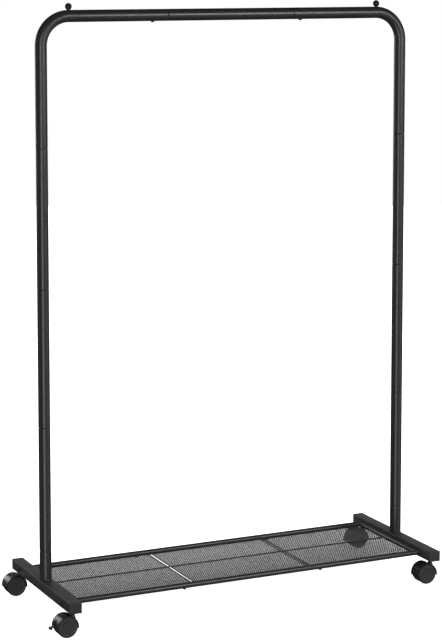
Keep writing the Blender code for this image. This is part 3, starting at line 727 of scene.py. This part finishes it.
def hex_ring(across_flats):
    """Points round a hexagon, as many as a screw head has segments."""
    ring = []
    for u, v in circle(1, HEAD_SEGMENTS):
        angle = math.atan2(v, u) % (math.pi / 3) - math.pi / 6
        reach = across_flats / 2 / math.cos(angle)
        ring.append((u * reach, v * reach))
    return ring


def add_socket_head(shape, seat, top, radius, centre, axis, shank_radius, tip):
    """A domed head with a hex socket, facing from seat towards top, on a plain shank to tip."""
    sense = 1 if top > seat else -1
    height = abs(top - seat)
    flats = 2 * radius * HEX_ACROSS_FLATS
    rings = [
        ([(0, 0)], tip),
        (circle(shank_radius, HEAD_SEGMENTS), tip),
        (circle(shank_radius, HEAD_SEGMENTS), seat),
        (circle(radius * HEAD_SEAT, HEAD_SEGMENTS), seat),
    ]
    for out, up in HEAD_DOME:
        rings.append((circle(radius * out, HEAD_SEGMENTS), seat + sense * up * height))
    rings.append((circle(radius * HEAD_TOP, HEAD_SEGMENTS), top))
    for across, down in SOCKET:
        rings.append((hex_ring(flats * across), top - sense * down * height))
    rings.append(([(0, 0)], top - sense * SOCKET_POINT * height))
    places = [[(u, v, along) for u, v in ring] for ring, along in rings]
    order = AXES[axis]
    skinned = [[Vector([p[i] for i in order]) + Vector(centre) for p in ring] for ring in places]
    add_skin(shape, skinned)


def add_screw(node, axis, sense, seat_depth):
    """A screw whose head is at the end that sense points to, seat_depth under its top."""
    low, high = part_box(node)
    centre = (low + high) / 2
    order = AXES[axis]
    along = order.index(2)
    across = order.index(0)
    top, tip = (high[along], low[along]) if sense > 0 else (low[along], high[along])
    radius = (high[across] - low[across]) / 2
    seat = top - sense * seat_depth
    centre[along] = 0
    shape = bmesh.new()
    add_socket_head(shape, seat, top, radius, centre, axis, radius * HEAD_SHANK, tip)
    add_piece(node, shape, "screw_black", sharp=30)


# ---------------------------------------------------------------- base

def add_base_bar(side):
    node = f"{side}_base_bar"
    low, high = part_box(node)
    centre = (low + high) / 2
    half = (high - low) / 2

    def outline(inset):
        return rectangle(half.x - inset, half.z - inset, BAR_CORNER - inset)

    outer = outline(0.0)
    slightly_in = outline(BAR_END_EDGE)
    inner = outline(BAR_WALL)
    stations = [
        (-half.y, slightly_in),
        (-half.y + BAR_END_EDGE, outer),
        (half.y - BAR_END_EDGE, outer),
        (half.y, slightly_in),
        (half.y, inner),
        (-half.y, inner),
    ]
    rings = [[Vector((x, y, z)) + centre for x, z in outline] for y, outline in stations]
    shape = bmesh.new()
    add_skin(shape, rings, ends="joined")
    add_piece(node, shape, "bar_coat")


def add_end_cap(side, end):
    """A moulded cap: a flat face with eased edges, a lip on the bar's end and a plug inside it."""
    node = f"{side}_{end}_end_cap"
    low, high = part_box(node)
    sign = ENDS[end]
    face, back = (low.y, high.y) if sign < 0 else (high.y, low.y)
    centre = Vector(((low.x + high.x) / 2, 0, (low.z + high.z) / 2))
    half_x = (high.x - low.x) / 2
    half_z = (high.z - low.z) / 2

    def outline(inset):
        corner = max(CAP_LEAST_CORNER, CAP_CORNER - inset * CAP_CORNER_SHRINK)
        return rectangle(half_x - inset, half_z - inset, corner)

    plug = rectangle(half_x - CAP_PLUG_INSET, half_z - CAP_PLUG_INSET, CAP_PLUG_CORNER)
    lip_back = face - sign * CAP_LIP
    stations = [(face - sign * depth, outline(inset)) for depth, inset in CAP_FACE]
    stations += [
        (lip_back + sign * CAP_LIP_EDGE, outline(0.0)),
        (lip_back, outline(CAP_LIP_EDGE)),
        (lip_back, plug),
        (back, plug),
    ]
    shape = bmesh.new()
    add_extruded(shape, stations, centre)
    add_piece(node, shape, "cap_plastic")


# ---------------------------------------------------------------- shelf

def add_cross_wire(shape, x, rail_y, z):
    """A wire from rail to rail, welded at both ends and where the centre wire crosses it."""
    reach = rail_y - CROSS_WIRE_INSET
    add_rod(shape, -reach, reach, WIRE_RADIUS, (x, 0, z), "Y")
    for sign in ENDS.values():
        add_bead(shape, (x, sign * (reach - WIRE_WELD / 3), z), WIRE_WELD, WIRE_WELD_SQUASH)
    add_bead(shape, (x, CENTRE_WIRE_Y, z + CENTRE_WIRE_RISE / 2), NODE_WELD, NODE_WELD_SQUASH)


def add_shelf_tube(shape, start, stop, outside, inside, y, z, edge=SHELF_TUBE_EDGE):
    add_sleeve(shape, *sorted((start, stop)), outside, inside, (0, y, z), "X", edge, SHELF_SEGMENTS)


def shelf_numbers(side):
    """An outer frame's box, and its rails' distance from the middle, height and radius."""
    low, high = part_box(f"{side}_shelf_frame")
    bolt = middle(f"{side}_rear_shelf_bolt")
    radius = high.y - bolt.y
    return low, high, bolt.y, bolt.z, radius


def wire_x(side, outer):
    """Middle of a cross wire, just past the edge of the mesh beside it."""
    middle_low, middle_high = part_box("middle_shelf_mesh")
    edge, towards = {
        ("left", True): (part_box("left_shelf_mesh")[1].x, 1),
        ("left", False): (middle_low.x, -1),
        ("right", False): (middle_high.x, 1),
        ("right", True): (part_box("right_shelf_mesh_lip")[1].x, 1),
    }[side, outer]
    return edge + towards * (WIRE_RADIUS + GAP)


def add_outer_shelf_frame(side):
    """Two rails to the base bar, an end tube between them, a cross wire and the centre wire."""
    sign = SIDES[side]
    low, high, rail_y, rail_z, radius = shelf_numbers(side)
    bar_end, seam = (low.x, high.x) if sign < 0 else (high.x, low.x)
    mesh_z = middle(f"{side}_shelf_mesh").z
    wire_z = mesh_z + CENTRE_WIRE_RISE
    plug_start = bar_end - sign * END_TUBE_SETBACK
    plug_end = bar_end - sign * SHELF_PLUG_LENGTH
    tube_radius = radius * END_TUBE_SHARE
    tube_x = bar_end - sign * (tube_radius + END_TUBE_SETBACK)
    shape = bmesh.new()
    for end_sign in ENDS.values():
        y = end_sign * rail_y
        add_shelf_tube(shape, bar_end, seam, radius, radius - SHELF_WALL, y, rail_z)
        plug = (radius - SHELF_PLUG_INSET, SHELF_BOLT_BORE)
        add_shelf_tube(shape, plug_start, plug_end, *plug, y, rail_z, edge=GAP)
        corner_x = tube_x - sign * tube_radius * CORNER_WELD_SHARE
        corner_y = end_sign * (rail_y - radius * CORNER_WELD_SHARE)
        add_bead(shape, (corner_x, corner_y, rail_z), WIRE_WELD, CORNER_WELD_SQUASH)
    add_rod(shape, -rail_y, rail_y, tube_radius, (tube_x, 0, rail_z), "Y", SHELF_SEGMENTS)
    x = wire_x(side, outer=True)
    add_cross_wire(shape, x, rail_y, mesh_z)
    add_rod(shape, *sorted((x, tube_x)), WIRE_RADIUS, (0, CENTRE_WIRE_Y, wire_z), "X")
    add_bead(shape, (tube_x - sign * tube_radius, CENTRE_WIRE_Y, wire_z), NODE_WELD)
    add_piece(f"{side}_shelf_frame", shape, "shelf_coat")


def add_middle_shelf_frame():
    """Two rails with a spigot at each end, two cross wires and the centre wire between them."""
    left_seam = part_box("left_shelf_frame")[1].x + 2 * GAP
    right_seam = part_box("right_shelf_frame")[0].x - 2 * GAP
    _, _, rail_y, rail_z, radius = shelf_numbers("left")
    low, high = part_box("middle_shelf_frame")
    mesh_z = middle("middle_shelf_mesh").z
    spigot = radius - SHELF_WALL - GAP
    narrow = (spigot, spigot - SHELF_WALL)
    shape = bmesh.new()
    for end_sign in ENDS.values():
        y = end_sign * rail_y
        add_shelf_tube(shape, left_seam, right_seam, radius, radius - SHELF_WALL, y, rail_z)
        add_shelf_tube(shape, low.x, left_seam + SPIGOT_OVERLAP, *narrow, y, rail_z, edge=GAP)
        add_shelf_tube(shape, right_seam - SPIGOT_OVERLAP, high.x, *narrow, y, rail_z, edge=GAP)
    places = [wire_x(side, outer=False) for side in SIDES]
    for x in places:
        add_cross_wire(shape, x, rail_y, mesh_z)
    add_rod(shape, *places, WIRE_RADIUS, (0, CENTRE_WIRE_Y, mesh_z + CENTRE_WIRE_RISE), "X")
    add_piece("middle_shelf_frame", shape, "shelf_coat")


def expanded_metal(low, high):
    """Vertices and faces of a sheet of diamond mesh that fills a box in X and Y.

    Knots and hole middles alternate over a grid of half cells. Each hole has four corners in the
    sheet's middle plane, and the strands between them are ridged above and below.
    """
    columns = round((high.x - low.x) / CELL_WIDTH)
    rows = round((high.y - low.y) / CELL_DEPTH)
    half_x = (high.x - low.x) / columns / 2
    half_y = (high.y - low.y) / rows / 2
    height = (low.z + high.z) / 2
    knots_high = 2 * rows + 1
    m, n = np.meshgrid(np.arange(2 * columns + 1), np.arange(knots_high), indexing="ij")
    grid = np.stack([low.x + m * half_x, low.y + n * half_y, np.full(m.shape, height)], axis=-1)
    grid = grid.reshape(-1, 3)
    lift = np.array([0, 0, STRAND_THICKNESS / 2])
    hole_m, hole_n = np.nonzero((m + n) % 2 == 1)
    inside = (hole_m > 0) & (hole_m < 2 * columns) & (hole_n > 0) & (hole_n < 2 * rows)
    hole_m = hole_m[inside]
    hole_n = hole_n[inside]
    shrink = 1 - STRAND_HALF_WIDTH * math.hypot(half_x, half_y) / (half_x * half_y)
    steps = np.array([(-1, 0), (0, 1), (1, 0), (0, -1)])
    knots = [(hole_m + dm) * knots_high + hole_n + dn for dm, dn in steps]
    centres = grid[hole_m * knots_high + hole_n]
    corners = [centres + shrink * np.array([dm * half_x, dn * half_y, 0]) for dm, dn in steps]
    points = np.concatenate([grid + lift, grid - lift, *corners])
    count = len(hole_m)
    faces = []
    for k in range(4):
        j = (k + 1) % 4
        inner = 2 * len(grid) + np.arange(count)
        quad = [knots[k], knots[j], inner + j * count, inner + k * count]
        faces.append(np.stack(quad, axis=1)[:, ::-1])
        quad = [knots[k] + len(grid), knots[j] + len(grid), inner + j * count, inner + k * count]
        faces.append(np.stack(quad, axis=1))
    faces = np.concatenate(faces)
    used, faces = np.unique(faces, return_inverse=True)
    return points[used], faces.reshape(-1, 4)


def add_border(shape, low, high):
    """A flat rim round the sheet, just thicker than the strands, with its edges eased."""
    centre = (low + high) / 2
    half = (high - low) / 2
    top = STRAND_THICKNESS / 2 + BORDER_RISE
    shoulder = top * BORDER_SHOULDER
    inner_edge = MESH_BORDER - BORDER_EDGE
    section = (
        (0, -shoulder),
        (0, shoulder),
        (BORDER_EDGE, top),
        (inner_edge, top),
        (MESH_BORDER, shoulder),
        (MESH_BORDER, -shoulder),
        (inner_edge, -top),
        (BORDER_EDGE, -top),
    )
    rings = []
    for inset, z in section:
        ring = rectangle(half.x - inset, half.y - inset)
        rings.append([Vector((x, y, z)) + centre for x, y in ring])
    add_skin(shape, rings, ends="joined")


def add_shelf_mesh(node):
    low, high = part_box(node)
    points, faces = expanded_metal(low, high)
    sheet = bpy.data.meshes.new("sheet")
    sheet.from_pydata(points.tolist(), [], faces.tolist())
    shape = bmesh.new()
    if high.x - low.x > 4 * MESH_BORDER:
        add_border(shape, low, high)
        bmesh.ops.recalc_face_normals(shape, faces=shape.faces)
    shape.from_mesh(sheet)
    data = bpy.data.meshes.new(f"{node}_look")
    shape.to_mesh(data)
    shape.free()
    bpy.data.meshes.remove(sheet)
    dress(f"{node}_look", data, "mesh_coat", node, sharp=60)


# ---------------------------------------------------------------- casters

def arc_outline(radius, skirt, steps):
    """(x, z) points over the top of the axle, from skirt below it on one side to the other."""
    dip = math.asin(skirt / radius)
    points = []
    for step in range(steps + 1):
        angle = -dip + (math.pi + 2 * dip) * step / steps
        points.append((radius * math.cos(angle), radius * math.sin(angle)))
    return points


def hood_shell(reach, half_width, centre):
    """The curved cover over both wheels, with rolled edges, as a section carried over the axle."""
    inner = reach - HOOD_SHELL
    section = rounded(
        [(inner, -half_width), (reach, -half_width), (reach, half_width), (inner, half_width)],
        HOOD_EDGE,
        steps=6,
        closed=True,
    )
    dip = math.asin(HOOD_SKIRT / reach)
    rings = []
    for step in range(HOOD_ARC_STEPS + 1):
        angle = -dip + (math.pi + 2 * dip) * step / HOOD_ARC_STEPS
        ring = [
            Vector((radius * math.cos(angle), y, radius * math.sin(angle))) + centre
            for radius, y in section
        ]
        rings.append(ring)
    shape = bmesh.new()
    add_skin(shape, rings)
    return shape


def hood_web(reach, centre):
    """The plate between the wheels, closed below the axle."""
    outline = arc_outline(reach - HOOD_SHELL / 2, HOOD_SKIRT, HOOD_ARC_STEPS)
    small = [(x * WEB_EDGE_SHRINK, z * WEB_EDGE_SHRINK) for x, z in outline]
    stations = [
        (-WEB_HALF_WIDTH, small),
        (-WEB_HALF_WIDTH + WEB_EDGE, outline),
        (WEB_HALF_WIDTH - WEB_EDGE, outline),
        (WEB_HALF_WIDTH, small),
    ]
    shape = bmesh.new()
    add_extruded(shape, stations, centre)
    return shape


def bore(start, end, radius, centre, axis):
    """A cutter for a round hole."""
    shape = bmesh.new()
    add_rod(shape, start, end, radius, centre, axis, TUBE_SEGMENTS, BORE_EDGE)
    return shape


def add_hood(side, end):
    """The shell, web and boss in one, bored for the stem and the axle, and slotted for a lever."""
    node = f"{side}_{end}_caster_hood"
    low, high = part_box(node)
    wheel = middle(f"{side}_{end}_caster_front_wheel")
    stem = middle(f"{side}_{end}_caster_stem")
    stem_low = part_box(f"{side}_{end}_caster_stem")[0].z
    centre = Vector((wheel.x, (low.y + high.y) / 2, wheel.z))
    reach = wheel.x - low.x
    half_width = (high.y - low.y) / 2
    shell = hood_shell(reach, half_width, centre)
    shoulder = wheel.z + math.sqrt(reach**2 - (stem.x - wheel.x) ** 2)
    on_stem = (stem.x, stem.y, 0)
    on_axle = (wheel.x, 0, wheel.z)
    boss = hood_boss(wheel.z + BOSS_FOOT, shoulder, high.z, on_stem)
    beyond_web = WEB_HALF_WIDTH + AXLE_BORE_OVERRUN
    cutters = [
        bore(stem_low - GAP, high.z + STEM_BORE_OVERRUN, STEM_BORE, on_stem, "Z"),
        bore(centre.y - beyond_web, centre.y + beyond_web, AXLE_BORE, on_axle, "Y"),
    ]
    if (side, end) in LEVERS:
        cutters += lever_slots(centre)
    steps = [("UNION", hood_web(reach, centre)), ("UNION", boss)]
    steps += [("DIFFERENCE", cutter) for cutter in cutters]
    add_piece(node, combined(shell, steps), "hood_plastic", sharp=32)


def hood_boss(foot, shoulder, top, centre):
    """The socket for the stem: it flares into the hood at its shoulder."""
    profile = [(0, foot), (BOSS_RADIUS + BOSS_FOOT_FLARE, foot)]
    profile += [(BOSS_RADIUS + out, shoulder + up) for out, up in BOSS_FLARE]
    profile += [(BOSS_RADIUS, top), (0, top)]
    shape = bmesh.new()
    add_turned(shape, rounded(profile, BOSS_EASE), centre)
    return shape


def lever_slots(centre):
    """Room for the brake lever: through the shell, through the web, and over the shoe."""
    slots = []
    for (left, bottom), (right, top), half_width in LEVER_SLOTS:
        outline = [(left, bottom), (right, bottom), (right, top), (left, top)]
        slot = bmesh.new()
        add_extruded(slot, [(-half_width, outline), (half_width, outline)], centre)
        slots.append(slot)
    return slots


def add_wheel(side, end, which):
    """A wheel with a softly crowned tread, a bevelled rim and a shallow dish in its face."""
    node = f"{side}_{end}_caster_{which}_wheel"
    low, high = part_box(node)
    centre = (low + high) / 2
    sign = ENDS[which]
    radius = (high.z - low.z) / 2
    inner, outer = (high.y, low.y) if sign < 0 else (low.y, high.y)
    width = abs(outer - inner)
    profile = [
        (0, AXLE_BORE_DEPTH),
        (AXLE_BORE, AXLE_BORE_DEPTH),
        (AXLE_BORE, 0),
        (DRUM_INNER, 0),
        (DRUM_INNER, DRUM_DEPTH),
        (DRUM_OUTER, DRUM_DEPTH),
        (DRUM_OUTER, 0),
        (radius - WHEEL_BACK_EDGE, 0),
        (radius - TREAD_FALL[0], WHEEL_BACK_EDGE),
        (radius, width * TREAD_CROWN[0]),
        (radius, width * TREAD_CROWN[1]),
        (radius - TREAD_FALL[1], width - WHEEL_CHAMFER),
        (radius - WHEEL_CHAMFER, width),
        (DISH_RADIUS + DISH_SLOPE, width),
        (DISH_RADIUS, width - DISH_DEPTH),
        (0, width - DISH_DEPTH),
    ]
    smooth = rounded(profile, WHEEL_EASE, steps=3)
    placed = [(r, inner + sign * along) for r, along in smooth]
    shape = bmesh.new()
    add_turned(shape, placed, (centre.x, 0, centre.z), "Y", WHEEL_SEGMENTS)
    add_piece(node, shape, "wheel_plastic", sharp=32)


def add_stem(side, end):
    """The stem, with a chamfered collar under the bar."""
    node = f"{side}_{end}_caster_stem"
    low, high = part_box(node)
    centre = middle(node)
    collar_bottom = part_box(f"{side}_{end}_caster_hood")[1].z + STEM_COLLAR_GAP
    collar_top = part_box(f"{side}_base_bar")[0].z - GAP
    collar = (high.x - low.x) / 2
    profile = [
        (0, low.z),
        (STEM_SHANK, low.z),
        (STEM_SHANK, collar_bottom),
        (collar - STEM_CHAMFER, collar_bottom),
        (collar, collar_bottom + STEM_CHAMFER),
        (collar, collar_top - STEM_CHAMFER),
        (collar - STEM_CHAMFER, collar_top),
        (STEM_SHANK, collar_top),
        (STEM_SHANK, high.z - STEM_CHAMFER),
        (STEM_SHANK - STEM_CHAMFER, high.z),
        (0, high.z),
    ]
    shape = bmesh.new()
    add_turned(shape, rounded(profile, STEM_EASE, steps=2), (centre.x, centre.y, 0))
    add_piece(node, shape, "caster_steel", sharp=32)


def coat_axle(side, end):
    """The axle is used as the CAD has it, so it only gets a coat."""
    data = frame["nodes"][f"{side}_{end}_caster_axle"].data
    data.materials.clear()
    data.materials.append(MATERIALS["caster_steel"])


def add_lever(side, end):
    """The brake lever: a curved arm from the shoe past its pivot to a round pedal."""
    node = f"{side}_{end}_brake_lever"
    wheel = middle(f"{side}_{end}_caster_front_wheel")
    centre = Vector((wheel.x, middle(node).y, wheel.z))
    shape = bmesh.new()
    stations = []
    for i, (x, z, half_thickness) in enumerate(LEVER_ARM):
        before = LEVER_ARM[max(0, i - 1)]
        after = LEVER_ARM[min(len(LEVER_ARM) - 1, i + 1)]
        angle = math.atan2(after[0] - before[0], after[1] - before[1])
        stations.append((x, z, angle, rectangle(half_thickness, LEVER_HALF_WIDTH, LEVER_EDGE)))
    add_swept(shape, stations, centre)
    for (x, z), radius, half_length, edge in LEVER_RODS:
        place = centre + Vector((x, 0, z))
        span = (place.y - half_length, place.y + half_length)
        add_rod(shape, *span, radius, (place.x, 0, place.z), "Y", LEVER_ROD_SEGMENTS, edge)
    add_piece(node, shape, "lever_plastic", sharp=32)


# ---------------------------------------------------------------- stage

def add_floor():
    """A pale floor that brightens into the white backdrop, out of the way of the rack's reflections."""
    nodes = Nodes("pale_floor")
    nodes.shader.inputs["Base Color"].default_value = (FLOOR_SHADE, FLOOR_SHADE, FLOOR_SHADE, 1)
    nodes.shader.inputs["Roughness"].default_value = 0.9
    nodes.shader.inputs["Specular IOR Level"].default_value = 0.1
    nodes.shader.inputs["Emission Color"].default_value = (1, 1, 1, 1)
    gradient = nodes.add("ShaderNodeTexGradient", gradient_type="SPHERICAL")
    nodes.join(nodes.stretched([FLOOR_GLOW_SPREAD] * 3), gradient.inputs["Vector"])
    glow = nodes.ranged(gradient.outputs["Fac"], *FLOOR_GLOW_RANGE, *FLOOR_GLOW)
    nodes.join(glow, nodes.shader.inputs["Emission Strength"])
    data = bpy.data.meshes.new("floor")
    shape = bmesh.new()
    bmesh.ops.create_circle(shape, cap_ends=True, segments=FLOOR_SEGMENTS, radius=FLOOR_RADIUS)
    shape.to_mesh(data)
    shape.free()
    data.materials.append(nodes.material)
    floor = bpy.data.objects.new("floor", data)
    bpy.context.scene.collection.objects.link(floor)
    floor.location.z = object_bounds()[0][2] - FLOOR_DROP
    floor.visible_glossy = False
    floor.visible_diffuse = False
    floor.visible_shadow = False


def add_softbox(name, azimuth, elevation, distance, width, height, radiance):
    """A soft light that faces the rack's middle, by its angles, distance, size and brightness.

    Azimuth 0 is in front, and 90 is on the right.
    """
    data = bpy.data.lights.new(name, "AREA")
    data.shape = "RECTANGLE"
    data.size = width
    data.size_y = height
    data.energy = radiance * math.pi * width * height
    light = bpy.data.objects.new(name, data)
    bpy.context.scene.collection.objects.link(light)
    around = math.radians(azimuth)
    up = math.radians(elevation)
    towards = Vector((
        math.cos(up) * math.sin(around),
        -math.cos(up) * math.cos(around),
        math.sin(up),
    ))
    light.location = Vector(LIGHTS_AIM) + distance * towards
    light.rotation_euler = towards.to_track_quat("Z", "Y").to_euler()
    light.visible_camera = False


def add_lights():
    add_softbox("key", -30, -4, 4.0, 1.0, 4.4, 6.0)
    add_softbox("front_right", 26, 17, 4.2, 1.8, 1.2, 11.5)
    add_softbox("low_front_right", 22, -20, 4.0, 2.6, 1.6, 0.45)
    add_softbox("right_side", 61, -4, 4.0, 0.7, 4.0, 2.4)
    add_softbox("left_side", -106, -4, 4.0, 0.8, 4.0, 0.5)
    add_softbox("back_right", 124, 0, 4.0, 0.7, 4.0, 1.0)
    add_softbox("back_left", -154, 8, 4.0, 1.2, 1.8, 3.8)
    add_softbox("back_wall", 160, 5, 4.0, 3.5, 1.4, 0.48)
    add_softbox("back_low", -155, -16, 4.0, 1.6, 1.2, 0.2)
    world = bpy.data.worlds.new("white_backdrop")
    world.use_nodes = True
    background = world.node_tree.nodes["Background"]
    background.inputs["Color"].default_value = (1, 1, 1, 1)
    background.inputs["Strength"].default_value = 1.0
    bpy.context.scene.world = world
    world.cycles_visibility.glossy = False


def add_camera():
    data = bpy.data.cameras.new("camera")
    data.lens = CAMERA_LENS
    data.sensor_width = CAMERA_SENSOR
    data.shift_y = CAMERA_SHIFT_Y
    data.clip_end = CAMERA_FAR
    camera = bpy.data.objects.new("camera", data)
    bpy.context.scene.collection.objects.link(camera)
    between_posts = (middle("left_upper_post") + middle("right_upper_post")) / 2
    floor_point = Vector((between_posts.x, between_posts.y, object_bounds()[0][2]))
    camera.location = floor_point + Vector(CAMERA_FROM_MIDDLE)
    camera.rotation_euler = (math.radians(90 - CAMERA_PITCH), 0, -math.radians(CAMERA_YAW))
    bpy.context.scene.camera = camera


# ---------------------------------------------------------------- whole rack

def add_caster(side, end):
    add_stem(side, end)
    add_hood(side, end)
    for which in ENDS:
        add_wheel(side, end, which)
    coat_axle(side, end)


def main():
    bpy.context.scene.view_settings.view_transform = "Standard"
    add_camera()
    add_floor()
    add_lights()
    for side, sign in SIDES.items():
        add_post(side)
        add_corner_tube(side)
        add_end_stop(side)
        add_screw(f"{side}_rail_screw", "Z", -1, SCREW_SEAT)
        add_base_bar(side)
        add_outer_shelf_frame(side)
        for end in ENDS:
            add_end_cap(side, end)
            add_screw(f"{side}_{end}_shelf_bolt", "X", sign, BOLT_SEAT)
            add_screw(f"{side}_{end}_joint_screw", "Z", -1, SCREW_SEAT)
            add_caster(side, end)
    for side, end in LEVERS:
        add_lever(side, end)
    add_rail_middle()
    add_middle_shelf_frame()
    for node in ("left_shelf_mesh", "middle_shelf_mesh", "right_shelf_mesh_lip", "right_shelf_mesh"):
        add_shelf_mesh(node)


main()
